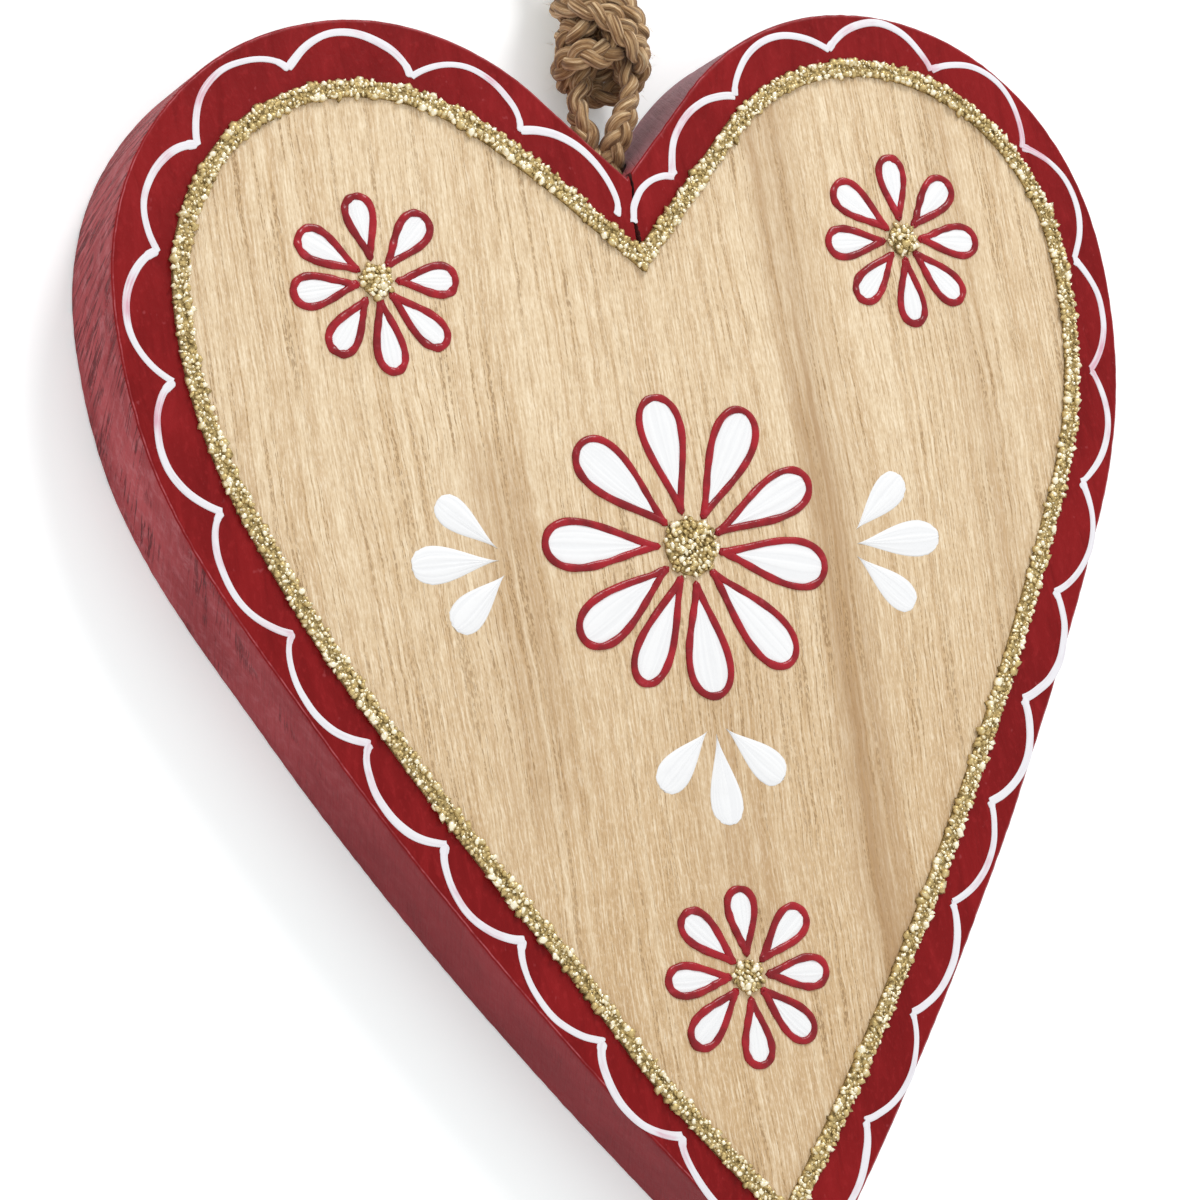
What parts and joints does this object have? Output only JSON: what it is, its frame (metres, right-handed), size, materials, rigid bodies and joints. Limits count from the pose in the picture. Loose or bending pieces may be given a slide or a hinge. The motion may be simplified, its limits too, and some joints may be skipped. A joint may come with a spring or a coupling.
{
  "type": "wooden heart ornament",
  "caption": "Flat wooden heart with a painted red border, raised gold glitter trim, painted flowers on bare wood and a knotted plaited jute cord in the notch to hang it by.",
  "frame": {"origin": "on the surface that the flat back lies on, under the middle of the heart's box, cord left out", "axes": "+Y along the heart's middle line from the tip to the notch, +X to the right as the painted face is seen, +Z out of the painted face"},
  "size_m": [0.1652, 0.2723, 0.0172],
  "materials": {
    "painted_wood": "crimson paint on sawn wood, satin, with a border of the same paint round a bare wood face",
    "bare_wood": "bare pale wood with fine long grain, matt",
    "white_paint": "thick white acrylic brush strokes, satin",
    "red_liner": "raised red liner paint, gloss",
    "gold_glitter": "gold glitter flakes in clear paste",
    "jute": "plaited natural jute, matt and fibrous"
  },
  "bodies": {
    "root": {"heart_body": "painted_wood", "glitter_border": "gold_glitter", "centre_flower_glitter": "gold_glitter", "left_flower_glitter": "gold_glitter", "right_flower_glitter": "gold_glitter", "lower_flower_glitter": "gold_glitter", "hanging_cord": "jute"}
  },
  "joints": []
}
